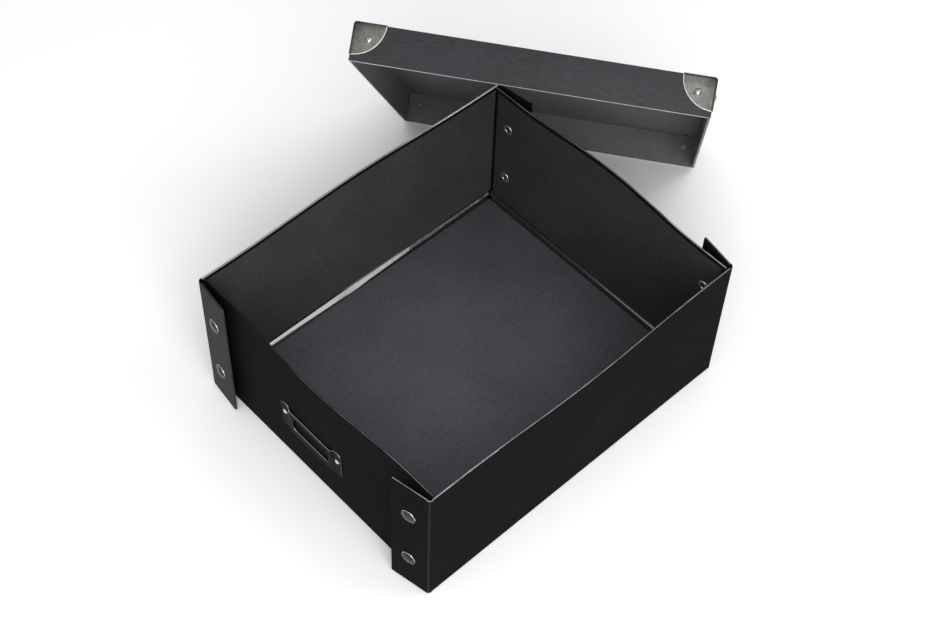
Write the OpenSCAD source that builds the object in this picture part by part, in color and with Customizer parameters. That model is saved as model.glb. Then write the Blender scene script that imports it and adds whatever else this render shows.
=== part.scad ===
// Flat-pack storage box of paper-covered board, with a lift-off lid that leans against one corner.
// The walls stand on paper folds round the base. The long walls end in flaps that wrap round the
// corners and close on the end walls with press studs. The lid has riveted metal corners.
// Millimetres. The origin is the centre of the underside, the label end faces -Y, and +Z is up.

/* [Box] */
// Width of the box across the outer faces of its long walls
box_w = 254; // [200:1:320]
// Length of the box across the outer faces of its end walls
box_l = 296; // [240:1:360]
// Height of the box from its underside to its rim
box_h = 130; // [115:1:180]
// Thickness of the paper-covered board
board_t = 2; // [1.5:0.1:2.6]
// Thickness of the layers of paper that make a fold
paper_t = 0.8; // [0.4:0.1:1.2]
// Clear space inside the folds between the base and the walls
base_fold_gap = 1; // [0.9:0.1:2]
// Gap between the side edges of an end wall and the long walls
wall_gap = 1; // [0.6:0.1:2]

/* [Wall bow] */
// Straight length at each end of a wall before it starts to bow
bow_margin = 24; // [20:1:40]
// How far the middle of the front wall's rim bows out
front_bow = 5; // [0:0.1:8]
// How far the middle of the back wall's rim bows out
back_bow = 5.5; // [0:0.1:8]
// How far the middle of the left wall's rim bows out
left_bow = 3.2; // [0:0.1:6]
// How far the middle of the right wall's rim bows out
right_bow = 2.8; // [0:0.1:3.5]

/* [Floor panel] */
// Thickness of the covered panel on the floor of the box
floor_t = 1.5; // [1:0.1:1.6]
// Width of the groove between the floor panel and the walls
floor_groove = 6; // [4:0.5:12]

/* [Flaps] */
// Width of a flap from its fold to its free edge
flap_w = 31; // [26:1:50]
// Space between a closed flap and its end wall, filled by the press studs
snap_gap = 3; // [2.8:0.1:4]
// Clear space inside the folds at the corners
flap_fold_gap = 2; // [1.5:0.1:3]
// Height of the flaps' lower edges above the underside
flap_lift = 1.5; // [1:0.1:4]
// Angle that the front left flap stands open
front_left_open = 7; // [4:1:20]
// Angle that the front right flap stands open
front_right_open = 11; // [10:1:20]
// Angle that the back left flap stands open
back_left_open = 8; // [4:1:20]
// Angle that the back right flap stands open
back_right_open = 10; // [10:1:20]

/* [Press studs] */
// Distance of the studs from the outer face of the long wall
snap_in = 19; // [15:0.5:24]
// Height of the lower row of studs
snap_low = 36; // [28:1:48]
// Height of the upper row of studs
snap_high = 94; // [70:1:100]
// Diameter of the domed cap on a flap
cap_d = 12.5; // [11:0.5:16]
// Height of the cap's dome above its flange
cap_dome = 1.6; // [1:0.1:2.4]
// Thickness of the cap's flange
cap_flange = 0.6; // [0.4:0.1:1]
// Diameter of the cap's post
post_d = 4; // [3.4:0.1:4.4]
// Diameter of the socket's flange
socket_d = 12.4; // [11.5:0.1:14]
// Diameter of the socket's barrel
socket_barrel_d = 10.2; // [9:0.1:11]
// Diameter of the socket's hollow
socket_bore_d = 6.8; // [6.6:0.1:7.4]
// Height of the socket
socket_h = 2.3; // [2:0.1:2.4]
// Thickness of the socket's flange and floor
socket_floor = 0.5; // [0.3:0.1:0.6]
// Thickness of the post's end where it is spread in the socket
clinch_t = 0.3; // [0.2:0.1:0.4]
// Diameter of the stud's flange
stud_flange_d = 9.2; // [8.6:0.1:11]
// Thickness of the stud's flange
stud_flange = 0.4; // [0.3:0.1:0.5]
// Diameter of the stud's head
stud_d = 5.6; // [5.2:0.1:5.8]
// Diameter of the neck under the stud's head
stud_neck_d = 5; // [4.8:0.1:5.1]
// Height of the neck under the stud's head
stud_neck_h = 0.4; // [0.3:0.1:0.5]
// Height of the stud above the wall
stud_h = 1.7; // [1.5:0.1:1.8]
// Diameter of the eyelet inside the box
eyelet_d = 10; // [9:0.1:11]
// Thickness of the eyelet's rolled rim
eyelet_rim = 0.8; // [0.5:0.1:1]
// Diameter of the eyelet's tube
eyelet_tube_d = 3.8; // [3.4:0.1:4]
// Diameter of the eyelet's hole
eyelet_bore_d = 2.8; // [2:0.1:3]

/* [Label holder] */
// Length of the label holder
holder_w = 68; // [65:1:80]
// Height of the holder at its ears
holder_ear_h = 30; // [29:0.5:34]
// Height of the holder at its top bar
holder_bar_h = 26; // [24:0.5:27]
// Width of an ear at its top
holder_ear_w = 9.5; // [8.5:0.5:11]
// Radius of an ear's upper corners
holder_ear_r = 4; // [2:0.5:4]
// Radius of the hollow between an ear and the top bar
holder_fillet_r = 2.5; // [1:0.5:3]
// Radius of the holder's lower corners
holder_foot_r = 4; // [2:0.5:6]
// Length of a flat end, which lies on the wall
holder_flat_w = 8; // [7:0.5:9]
// Length of the bend between a flat end and the raised middle
holder_ramp_w = 3; // [1:0.5:3]
// Width of the window
window_w = 41; // [34:1:44]
// Height of the window
window_h = 15.5; // [12:0.5:17]
// Height of the window's lower edge in the holder
window_low = 6; // [4:0.5:6.5]
// Radius of the window's corners
window_r = 4; // [2:0.5:5]
// Thickness of the holder's metal
holder_t = 0.7; // [0.5:0.1:1]
// Space behind the holder for a card
card_gap = 1.1; // [0.9:0.1:1.6]
// Distance of a rivet from the holder's end
holder_rivet_in = 4.4; // [3.6:0.2:5]
// Height of the rivets in the holder
holder_rivet_up = 18.5; // [14:0.5:21]
// Place of the holder's middle along the front wall
holder_x = -4; // [-12:1:12]
// Height of the holder's lower edge
holder_z = 42; // [36:1:60]

/* [Lid] */
// Clearance between the lid's rims and the closed box
lid_clear = 1; // [0.5:0.1:3]
// Depth of the lid
lid_depth = 28.5; // [27:0.5:40]
// Thickness of the lining inside the lid
lining_t = 0.4; // [0.2:0.1:0.8]
// Reach of a metal corner along the lid's edges
corner_reach = 24; // [20:0.5:26]
// Thickness of a metal corner
corner_t = 0.8; // [0.6:0.1:1]
// Radius of a metal corner's folded edges
corner_round = 1.5; // [1.1:0.1:1.5]
// Distance of a corner's rivets from the lid's edges
rivet_in = 12; // [9:0.5:13]

/* [Rivets] */
// Diameter of the domed heads on the lid's corners
lid_rivet_head_d = 6; // [4.8:0.1:6.5]
// Height of the domed heads on the lid's corners
lid_rivet_head_h = 1.3; // [0.8:0.1:1.8]
// Diameter of the shanks of the lid's rivets
lid_rivet_shank_d = 2.8; // [2.2:0.1:3.2]
// Diameter of the domed heads on the label holder
holder_rivet_head_d = 4.2; // [3.6:0.1:5]
// Height of the domed heads on the label holder
holder_rivet_head_h = 1.1; // [0.8:0.1:1.4]
// Diameter of the shanks of the holder's rivets
holder_rivet_shank_d = 2.2; // [1.8:0.1:2.6]
// Stretch that a rivet's rolled end spreads past its shank
rivet_tail_lip = 0.8; // [0.5:0.1:1]
// Thickness of a rivet's rolled end
rivet_tail = 0.6; // [0.4:0.1:0.8]

/* [Leaning lid] */
// Angle of the lid from upright
lean_tilt = 36; // [28:0.5:38]
// Turn of the lid about the vertical
lean_turn = 36; // [30:1:42]
// How far the lid's middle stands past the corner that it leans on
lean_shift = 36.5; // [30:1:46]
// Gap between the lid's lining and that corner
lean_gap = 0.3; // [0.2:0.1:1]

/* [Hidden] */
$fn = 64;
// Clearance of a shank or tube in its hole
fit = 0.1;
// Stretch that a cutting tool runs past a face
past = 1;
// Steps along the bowed stretch of a wall
bow_steps = 20;
// Gap between a flat holder and the curved wall behind its ears
holder_seat = 0.2;
// Gap between a rivet's rolled end and the curved wall
tail_seat = 0.2;
// Gap between the holder's lower lip and the wall
holder_lip_gap = 0.4;
// Room for the eyelet's tube at the bottom of the stud's hollow
eyelet_end_gap = 0.4;

// Folds between the base and the walls
base_fold_r = board_t + base_fold_gap;
base_axis_x = box_w / 2 - base_fold_r;
base_axis_y = box_l / 2 - base_fold_r;

// Walls
wall_low = base_fold_r;
wall_h = box_h - wall_low;
end_half = box_w / 2 - board_t - wall_gap;

// Folds at the corners, in the frame of an end wall
flap_fold_r = board_t + flap_fold_gap;
flap_axis_s = box_w / 2 - flap_fold_r;
flap_axis_out = snap_gap + board_t - flap_fold_r;
long_half = box_l / 2 + flap_axis_out;
snap_s = box_w / 2 - snap_in;
snap_along_flap = flap_axis_s - snap_s;
snap_heights = [snap_low, snap_high];

// Turn of each wall from the back wall's place
front_turn = 180;
back_turn = 0;
left_turn = 90;
right_turn = -90;

// Lid
lid_w = box_w + 2 * (lid_clear + board_t);
lid_l = box_l + 2 * (snap_gap + board_t + lid_clear + board_t);
// Gap between the edges of the lining and the rims
lining_gap = 0.2;

// Where the leaning lid touches the round fold at the box's back left corner
touch_x = -flap_axis_s - flap_fold_r * sin(lean_turn);
touch_y = long_half + flap_fold_r * cos(lean_turn);
lean_z = lid_l / 2 * cos(lean_tilt) + lid_depth * sin(lean_tilt);
lid_skin = board_t + lining_t + lean_gap;
lean_back = ((box_h - lean_z) * sin(lean_tilt) + lid_skin) / cos(lean_tilt);
lean_x = touch_x + lean_shift * cos(lean_turn) - lean_back * sin(lean_turn);
lean_y = touch_y + lean_shift * sin(lean_turn) + lean_back * cos(lean_turn);

board_colour = "#222224";
floor_colour = "#45434a";
fold_colour = "#1b1b1d";
lid_colour = "#3b3a3e";
lining_colour = "#4b474b";
nickel_colour = "#a39d92";
corner_colour = "#857f76";
holder_colour = "#37343a";

// Base and floor

module base_board() {
    color(board_colour)
        translate([-base_axis_x, -base_axis_y, 0])
            cube([2 * base_axis_x, 2 * base_axis_y, board_t]);
}

module floor_panel() {
    half_x = box_w / 2 - board_t - floor_groove;
    half_y = box_l / 2 - board_t - floor_groove;
    color(floor_colour)
        translate([-half_x, -half_y, board_t])
            cube([2 * half_x, 2 * half_y, floor_t]);
}

// Frame of a wall: x runs along it, y points out of the box from the foot of its outer face

module on_wall(turn, reach) {
    rotate([0, 0, turn])
        translate([0, reach, 0])
            children();
}

// Folds between the base and the walls, quarter rounds about the axis that the wall folds on

module quarter_ring(outer, inner) {
    intersection() {
        difference() {
            circle(r = outer);
            circle(r = inner);
        }
        square(outer);
    }
}

module base_fold(length) {
    color(fold_colour)
        translate([-length / 2, -base_fold_r, base_fold_r])
            rotate([0, 90, 0])
                linear_extrude(length)
                    quarter_ring(base_fold_r, base_fold_r - paper_t);
}

module front_base_fold() {
    on_wall(front_turn, box_l / 2) base_fold(2 * (base_axis_x - base_fold_r));
}

module back_base_fold() {
    on_wall(back_turn, box_l / 2) base_fold(2 * (base_axis_x - base_fold_r));
}

module left_base_fold() {
    on_wall(left_turn, box_w / 2) base_fold(2 * base_axis_y);
}

module right_base_fold() {
    on_wall(right_turn, box_w / 2) base_fold(2 * base_axis_y);
}

// Walls: straight at the foot and at both ends, bowed out along the rim

function bow_at(s, half, bow) =
    abs(s) < half - bow_margin ? bow * pow(cos(90 * s / (half - bow_margin)), 2) : 0;

function bow_stations(half) = concat(
    [-half],
    [for (k = [0 : bow_steps]) (half - bow_margin) * (2 * k / bow_steps - 1)],
    [half]
);

// Each station has four points: outer foot, outer rim, inner rim and inner foot

function station_points(s, out) = [
    [s, 0, wall_low],
    [s, out, box_h],
    [s, out - board_t, box_h],
    [s, -board_t, wall_low],
];

function strip_faces(k, a, b) = [
    [4 * k + a, 4 * k + 4 + a, 4 * k + 4 + b],
    [4 * k + a, 4 * k + 4 + b, 4 * k + b],
];

function cap_faces(first) = [
    [first, first + 1, first + 2],
    [first, first + 2, first + 3],
];

function turned(faces) = [for (f = faces) [f[2], f[1], f[0]]];

module bowed_board(half, bow) {
    stations = bow_stations(half);
    last = len(stations) - 1;
    points = [for (s = stations) each station_points(s, bow_at(s, half, bow))];
    sides = [
        for (k = [0 : last - 1])
            for (edge = [0 : 3])
                each strip_faces(k, edge, (edge + 1) % 4)
    ];
    polyhedron(points, concat(sides, cap_faces(0), turned(cap_faces(4 * last))));
}

module snap_holes(diameter) {
    for (side = [-1, 1])
        for (z = snap_heights)
            translate([side * snap_s, past, z])
                rotate([90, 0, 0])
                    cylinder(d = diameter, h = board_t + 2 * past);
}

module end_wall(bow) {
    color(board_colour)
        difference() {
            bowed_board(end_half, bow);
            snap_holes(eyelet_tube_d + 2 * fit);
        }
}

module front_wall() {
    on_wall(front_turn, box_l / 2)
        difference() {
            end_wall(front_bow);
            color(board_colour) on_holder() holder_rivet_holes();
        }
}

module back_wall() {
    on_wall(back_turn, box_l / 2) end_wall(back_bow);
}

module left_wall() {
    color(board_colour) on_wall(left_turn, box_w / 2) bowed_board(long_half, left_bow);
}

module right_wall() {
    color(board_colour) on_wall(right_turn, box_w / 2) bowed_board(long_half, right_bow);
}

// Corners: a flap turns on the upright axis of its round fold.
// In the flap's frame x runs from the axis to the free edge and y points out of the closed flap.

module on_corner(turn, side) {
    on_wall(turn, box_l / 2)
        translate([side * flap_axis_s, flap_axis_out, 0])
            mirror([side > 0 ? 1 : 0, 0, 0])
                children();
}

module on_flap(turn, side, open) {
    on_corner(turn, side) rotate([0, 0, open]) children();
}

module corner_fold(open) {
    far = 2 * flap_fold_r;
    color(fold_colour)
        translate([0, 0, flap_lift])
            linear_extrude(box_h - flap_lift)
                intersection() {
                    difference() {
                        circle(r = flap_fold_r);
                        circle(r = flap_fold_r - paper_t);
                    }
                    polygon([
                        [0, 0],
                        [-far, 0],
                        [-far, far],
                        [-far * sin(open), far * cos(open)],
                    ]);
                }
}

module flap() {
    color(board_colour)
        difference() {
            translate([0, flap_fold_gap, flap_lift])
                cube([flap_w, board_t, box_h - flap_lift]);
            for (z = snap_heights)
                translate([snap_along_flap, flap_fold_r + past, z])
                    rotate([90, 0, 0])
                        cylinder(d = post_d + 2 * fit, h = board_t + 2 * past);
        }
}

module front_left_corner_fold() {
    on_corner(front_turn, 1) corner_fold(front_left_open);
}

module front_right_corner_fold() {
    on_corner(front_turn, -1) corner_fold(front_right_open);
}

module back_left_corner_fold() {
    on_corner(back_turn, -1) corner_fold(back_left_open);
}

module back_right_corner_fold() {
    on_corner(back_turn, 1) corner_fold(back_right_open);
}

module front_left_flap() {
    on_flap(front_turn, 1, front_left_open) flap();
}

module front_right_flap() {
    on_flap(front_turn, -1, front_right_open) flap();
}

module back_left_flap() {
    on_flap(back_turn, -1, back_left_open) flap();
}

module back_right_flap() {
    on_flap(back_turn, 1, back_right_open) flap();
}

// Press studs. Each piece is a revolve about z, with z = 0 on the board's face

module dome(base_d, height) {
    ball_r = (pow(base_d / 2, 2) + pow(height, 2)) / (2 * height);
    intersection() {
        translate([0, height - ball_r]) circle(r = ball_r, $fn = 4 * $fn);
        square([base_d / 2, height]);
    }
}

module snap_cap() {
    through = board_t + socket_floor;
    rotate_extrude() {
        square([cap_d / 2 - cap_flange / 2, cap_flange]);
        intersection() {
            translate([cap_d / 2 - cap_flange / 2, cap_flange / 2]) circle(d = cap_flange);
            square([cap_d, cap_d]);
        }
        translate([0, cap_flange]) dome(cap_d - cap_flange, cap_dome);
        translate([0, -through]) square([post_d / 2, through]);
        translate([0, -through - clinch_t]) square([post_d / 2 + clinch_t, clinch_t]);
    }
}

module snap_socket() {
    rotate_extrude() {
        difference() {
            union() {
                square([socket_d / 2, socket_floor]);
                square([socket_barrel_d / 2, socket_h]);
            }
            translate([0, -past]) square([post_d / 2 + fit, socket_h + 2 * past]);
            translate([0, socket_floor]) square([socket_bore_d / 2, socket_h]);
        }
    }
}

module snap_stud() {
    head_h = stud_h - stud_flange - stud_neck_h;
    rotate_extrude() {
        difference() {
            union() {
                square([stud_flange_d / 2, stud_flange]);
                square([stud_neck_d / 2, stud_h]);
                translate([0, stud_flange + stud_neck_h])
                    intersection() {
                        square([stud_d / 2, head_h]);
                        translate([stud_d / 2 - head_h, 0]) circle(r = head_h);
                    }
            }
            translate([0, -past]) square([eyelet_tube_d / 2 + fit, past + stud_flange + eyelet_end_gap]);
        }
    }
}

module snap_eyelet() {
    tube_in = board_t + stud_flange;
    rotate_extrude() {
        difference() {
            union() {
                square([eyelet_d / 2 - eyelet_rim, eyelet_rim]);
                intersection() {
                    translate([eyelet_d / 2 - eyelet_rim, 0]) circle(r = eyelet_rim);
                    square([eyelet_d / 2, eyelet_rim]);
                }
                translate([0, -tube_in]) square([eyelet_tube_d / 2, tube_in]);
            }
            translate([0, -tube_in - past])
                square([eyelet_bore_d / 2, tube_in + eyelet_rim + 2 * past]);
        }
    }
}

// Turns a revolve so that its z points along the frame's y, or against it

module facing(out) {
    rotate([out > 0 ? -90 : 90, 0, 0]) children();
}

module flap_snap_caps() {
    color(nickel_colour)
        for (z = snap_heights)
            translate([snap_along_flap, flap_fold_r, z]) facing(1) snap_cap();
}

module flap_snap_sockets() {
    color(nickel_colour)
        for (z = snap_heights)
            translate([snap_along_flap, flap_fold_gap, z]) facing(-1) snap_socket();
}

module wall_snap_studs() {
    color(nickel_colour)
        for (side = [-1, 1])
            for (z = snap_heights)
                translate([side * snap_s, 0, z]) facing(1) snap_stud();
}

module wall_snap_eyelets() {
    color(nickel_colour)
        for (side = [-1, 1])
            for (z = snap_heights)
                translate([side * snap_s, -board_t, z]) facing(-1) snap_eyelet();
}

module front_left_snap_caps() {
    on_flap(front_turn, 1, front_left_open) flap_snap_caps();
}

module front_right_snap_caps() {
    on_flap(front_turn, -1, front_right_open) flap_snap_caps();
}

module back_left_snap_caps() {
    on_flap(back_turn, -1, back_left_open) flap_snap_caps();
}

module back_right_snap_caps() {
    on_flap(back_turn, 1, back_right_open) flap_snap_caps();
}

module front_left_snap_sockets() {
    on_flap(front_turn, 1, front_left_open) flap_snap_sockets();
}

module front_right_snap_sockets() {
    on_flap(front_turn, -1, front_right_open) flap_snap_sockets();
}

module back_left_snap_sockets() {
    on_flap(back_turn, -1, back_left_open) flap_snap_sockets();
}

module back_right_snap_sockets() {
    on_flap(back_turn, 1, back_right_open) flap_snap_sockets();
}

module front_snap_studs() {
    on_wall(front_turn, box_l / 2) wall_snap_studs();
}

module back_snap_studs() {
    on_wall(back_turn, box_l / 2) wall_snap_studs();
}

module front_snap_eyelets() {
    on_wall(front_turn, box_l / 2) wall_snap_eyelets();
}

module back_snap_eyelets() {
    on_wall(back_turn, box_l / 2) wall_snap_eyelets();
}

// A rivet: domed head from z = 0 up, shank and rolled end below, through a given thickness

module rivet(head_d, head_h, shank_d, through) {
    rotate_extrude() {
        dome(head_d, head_h);
        translate([0, -through]) square([shank_d / 2, through]);
        translate([0, -through - rivet_tail]) square([shank_d / 2 + rivet_tail_lip, rivet_tail]);
    }
}

module rivet_hole(shank_d, through) {
    translate([0, 0, -through - past])
        cylinder(d = shank_d + 2 * fit, h = through + 2 * past);
}

// Label holder: a stamped frame, flat at its ends and raised in the middle, where a card slides in
// from above. In its frame x runs along the wall, y points out and z runs up from its lower edge.

holder_s = -holder_x;
holder_mid_z = holder_z + holder_rivet_up;
holder_rivet_x = holder_w / 2 - holder_rivet_in;
holder_bow = max(holder_bow_at(-1), holder_bow_at(1));
holder_slope = atan(holder_bow / wall_h);
holder_out = holder_wall_at(holder_bow) + holder_seat;

function holder_bow_at(side) = bow_at(holder_s + side * holder_rivet_x, end_half, front_bow);

function holder_wall_at(bow) = bow * (holder_mid_z - wall_low) / wall_h;

// A rivet goes through the holder, the gap behind it on that side, and the wall

function holder_through(side) =
    holder_t + holder_out - holder_wall_at(holder_bow_at(side)) + board_t + tail_seat;

module on_holder() {
    translate([holder_s, holder_out, holder_mid_z])
        rotate([-holder_slope, 0, 0])
            translate([0, 0, -holder_rivet_up])
                children();
}

module rounded_rectangle(width, height, r) {
    translate([-width / 2 + r, 0]) square([width - 2 * r, height]);
    translate([-width / 2, r]) square([width, height - 2 * r]);
    for (x = [-width / 2 + r, width / 2 - r])
        for (y = [r, height - r])
            translate([x, y]) circle(r = r);
}

module holder_ear() {
    translate([-holder_ear_w / 2, holder_bar_h / 2])
        rounded_rectangle(holder_ear_w, holder_ear_h - holder_bar_h / 2, holder_ear_r);
    translate([-holder_ear_w - holder_fillet_r, holder_bar_h])
        difference() {
            translate([0, -past]) square([holder_fillet_r + past, holder_fillet_r + past]);
            translate([0, holder_fillet_r]) circle(r = holder_fillet_r);
        }
}

module holder_outline() {
    rounded_rectangle(holder_w, holder_bar_h, holder_foot_r);
    translate([-holder_w / 2 + holder_ear_w, holder_bar_h / 2])
        square([holder_w - 2 * holder_ear_w, holder_bar_h / 2]);
    for (side = [-1, 1])
        mirror([side < 0 ? 1 : 0, 0]) translate([holder_w / 2, 0]) holder_ear();
}

module holder_face() {
    difference() {
        holder_outline();
        translate([0, window_low]) rounded_rectangle(window_w, window_h, window_r);
    }
}

// The sheet seen from above: its inner line, and the same line one thickness further out

module holder_sheet() {
    end = holder_w / 2;
    bend = end - holder_flat_w;
    raised = bend - holder_ramp_w;
    inner = [[-end, 0], [-bend, 0], [-raised, card_gap], [raised, card_gap], [bend, 0], [end, 0]];
    outer = [for (k = [len(inner) - 1 : -1 : 0]) inner[k] + [0, holder_t]];
    polygon(concat(inner, outer));
}

module holder_lip() {
    raised = holder_w / 2 - holder_flat_w - holder_ramp_w;
    translate([-raised, holder_lip_gap, 0])
        cube([2 * raised, card_gap + holder_t - holder_lip_gap, holder_t]);
}

module at_holder_rivet(side) {
    translate([side * holder_rivet_x, holder_t, holder_rivet_up]) facing(1) children();
}

module holder_rivet_holes() {
    for (side = [-1, 1])
        at_holder_rivet(side) rivet_hole(holder_rivet_shank_d, holder_through(side));
}

module holder_rivet(side) {
    at_holder_rivet(side)
        rivet(holder_rivet_head_d, holder_rivet_head_h, holder_rivet_shank_d, holder_through(side));
}

module label_holder() {
    color(holder_colour)
        on_wall(front_turn, box_l / 2)
            on_holder()
                difference() {
                    union() {
                        intersection() {
                            linear_extrude(holder_ear_h) holder_sheet();
                            translate([0, holder_w / 2, 0])
                                rotate([90, 0, 0])
                                    linear_extrude(holder_w) holder_face();
                        }
                        holder_lip();
                    }
                    holder_rivet_holes();
                }
}

module label_holder_rivets() {
    color(nickel_colour)
        on_wall(front_turn, box_l / 2)
            on_holder() {
                holder_rivet(-1);
                holder_rivet(1);
            }
}

// Lid, drawn closed with z = 0 on its top face, then leaned against the box's back left corner

module lean() {
    translate([lean_x, lean_y, lean_z])
        rotate([90 - lean_tilt, 0, 180 + lean_turn])
            children();
}

module at_lid_corner(side_x, side_y) {
    mirror([side_x > 0 ? 1 : 0, 0, 0])
        mirror([0, side_y > 0 ? 1 : 0, 0])
            translate([-lid_w / 2, -lid_l / 2, 0])
                children();
}

module at_lid_corners() {
    for (side_x = [-1, 1])
        for (side_y = [-1, 1])
            at_lid_corner(side_x, side_y) children();
}

// The places of the three rivets of a corner, each with its z out of the lid

module at_top_rivet() {
    translate([rivet_in, rivet_in, corner_t]) children();
}

module at_side_rivets() {
    translate([-corner_t, rivet_in, -rivet_in]) rotate([0, -90, 0]) children();
    translate([rivet_in, -corner_t, -rivet_in]) rotate([90, 0, 0]) children();
}

module corner_rivet_holes() {
    at_top_rivet() rivet_hole(lid_rivet_shank_d, corner_t + board_t + lining_t);
    at_side_rivets() rivet_hole(lid_rivet_shank_d, corner_t + board_t);
}

module lid_top_board() {
    color(lid_colour)
        lean()
            difference() {
                translate([-lid_w / 2, -lid_l / 2, -board_t]) cube([lid_w, lid_l, board_t]);
                at_lid_corners() corner_rivet_holes();
            }
}

module lid_lining() {
    half_x = lid_w / 2 - board_t - lining_gap;
    half_y = lid_l / 2 - board_t - lining_gap;
    color(lining_colour)
        lean()
            difference() {
                translate([-half_x, -half_y, -board_t - lining_t])
                    cube([2 * half_x, 2 * half_y, lining_t]);
                at_lid_corners() corner_rivet_holes();
            }
}

// A rim is mitred at both ends. It is drawn along x, with its outer face at y = 0 facing -y

module lid_rim(length) {
    rotate([180, 0, 0])
        translate([0, 0, board_t])
            linear_extrude(lid_depth - board_t)
                polygon([
                    [-length / 2, 0],
                    [length / 2, 0],
                    [length / 2 - board_t, -board_t],
                    [board_t - length / 2, -board_t],
                ]);
}

module lid_side(turn, reach, length) {
    color(lid_colour)
        lean()
            difference() {
                rotate([0, 0, turn]) translate([0, -reach, 0]) lid_rim(length);
                at_lid_corners() corner_rivet_holes();
            }
}

module lid_front_rim() {
    lid_side(0, lid_l / 2, lid_w);
}

module lid_back_rim() {
    lid_side(180, lid_l / 2, lid_w);
}

module lid_left_rim() {
    lid_side(-90, lid_w / 2, lid_l);
}

module lid_right_rim() {
    lid_side(90, lid_w / 2, lid_l);
}

// A metal corner: folded sheet with rounded edges, cut to a quarter disc on each face

module rounded_block(size, r) {
    translate([r, r, 0]) cube([size, size, size]);
    translate([r, 0, r]) cube([size, size, size]);
    translate([0, r, r]) cube([size, size, size]);
    translate([r, r, r]) sphere(r = r);
    translate([r, r, r]) cylinder(r = r, h = size);
    translate([r, r, r]) rotate([0, 90, 0]) cylinder(r = r, h = size);
    translate([r, r, r]) rotate([-90, 0, 0]) cylinder(r = r, h = size);
}

module metal_corner() {
    color(corner_colour)
        difference() {
            intersection() {
                translate([-corner_t, -corner_t, corner_t])
                    mirror([0, 0, 1])
                        rounded_block(corner_reach + past, corner_round);
                sphere(r = corner_reach);
            }
            translate([0, 0, -2 * corner_reach]) cube(2 * corner_reach);
            corner_rivet_holes();
        }
}

module lid_front_left_corner() {
    lean() at_lid_corner(-1, -1) metal_corner();
}

module lid_front_right_corner() {
    lean() at_lid_corner(1, -1) metal_corner();
}

module lid_back_left_corner() {
    lean() at_lid_corner(-1, 1) metal_corner();
}

module lid_back_right_corner() {
    lean() at_lid_corner(1, 1) metal_corner();
}

module lid_rivet(through) {
    rivet(lid_rivet_head_d, lid_rivet_head_h, lid_rivet_shank_d, through);
}

module lid_corner_rivets() {
    color(nickel_colour)
        lean()
            at_lid_corners() {
                at_top_rivet() lid_rivet(corner_t + board_t + lining_t);
                at_side_rivets() lid_rivet(corner_t + board_t);
            }
}

base_board();
floor_panel();
front_base_fold();
back_base_fold();
left_base_fold();
right_base_fold();
front_wall();
back_wall();
left_wall();
right_wall();
front_left_corner_fold();
front_right_corner_fold();
back_left_corner_fold();
back_right_corner_fold();
front_left_flap();
front_right_flap();
back_left_flap();
back_right_flap();
front_left_snap_caps();
front_right_snap_caps();
back_left_snap_caps();
back_right_snap_caps();
front_left_snap_sockets();
front_right_snap_sockets();
back_left_snap_sockets();
back_right_snap_sockets();
front_snap_studs();
back_snap_studs();
front_snap_eyelets();
back_snap_eyelets();
label_holder();
label_holder_rivets();
lid_top_board();
lid_lining();
lid_front_rim();
lid_back_rim();
lid_left_rim();
lid_right_rim();
lid_front_left_corner();
lid_front_right_corner();
lid_back_left_corner();
lid_back_right_corner();
lid_corner_rivets();
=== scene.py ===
import math

import bmesh
import bpy
from mathutils import Matrix, Vector


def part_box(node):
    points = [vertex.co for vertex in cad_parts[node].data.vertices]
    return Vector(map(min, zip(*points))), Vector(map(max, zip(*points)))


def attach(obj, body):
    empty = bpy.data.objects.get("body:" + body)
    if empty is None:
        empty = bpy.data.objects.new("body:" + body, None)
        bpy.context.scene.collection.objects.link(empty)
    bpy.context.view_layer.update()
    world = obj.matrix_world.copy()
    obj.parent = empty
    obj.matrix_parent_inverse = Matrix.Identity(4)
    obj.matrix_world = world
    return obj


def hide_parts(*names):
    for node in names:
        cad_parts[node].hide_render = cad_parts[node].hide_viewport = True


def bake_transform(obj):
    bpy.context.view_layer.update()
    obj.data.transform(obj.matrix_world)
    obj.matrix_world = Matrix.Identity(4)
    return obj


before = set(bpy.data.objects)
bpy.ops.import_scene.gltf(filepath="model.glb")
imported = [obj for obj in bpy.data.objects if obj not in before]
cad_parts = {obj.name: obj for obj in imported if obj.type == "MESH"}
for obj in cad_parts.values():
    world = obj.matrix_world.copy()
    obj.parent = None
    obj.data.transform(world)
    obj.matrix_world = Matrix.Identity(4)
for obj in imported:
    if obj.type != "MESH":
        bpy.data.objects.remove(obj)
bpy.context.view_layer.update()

# Studio
# A pale floor under the box, a wide soft lamp overhead, a stronger one on the right and a small one
# behind. The camera looks down over the corner to the right of the label end.

MM = 0.001
PHOTO_WIDTH = 930
FOCAL_PIXELS = 1734.57
SENSOR = 36.0
AZIMUTH = math.radians(45.312)
ELEVATION = math.radians(52.852)
ROLL = math.radians(2.373)
DISTANCE = 1.7525
AIM = Vector((-0.1887, 0.1852, -0.2638))
FLOOR_SIZE = 14
FLOOR_DROP = 0.3 * MM


class Tone:
    """A number that varies over a surface. Arithmetic on it adds Math nodes."""

    def __init__(self, finish, socket):
        self.finish = finish
        self.socket = socket

    def combine(self, operation, first, second):
        node = self.finish.node("ShaderNodeMath", {"operation": operation}, {0: first, 1: second})
        return Tone(self.finish, node.outputs[0])

    def __add__(self, other):
        return self.combine("ADD", self, other)

    def __radd__(self, other):
        return self.combine("ADD", other, self)

    def __sub__(self, other):
        return self.combine("SUBTRACT", self, other)

    def __rsub__(self, other):
        return self.combine("SUBTRACT", other, self)

    def __mul__(self, other):
        return self.combine("MULTIPLY", self, other)

    def __rmul__(self, other):
        return self.combine("MULTIPLY", other, self)


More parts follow.
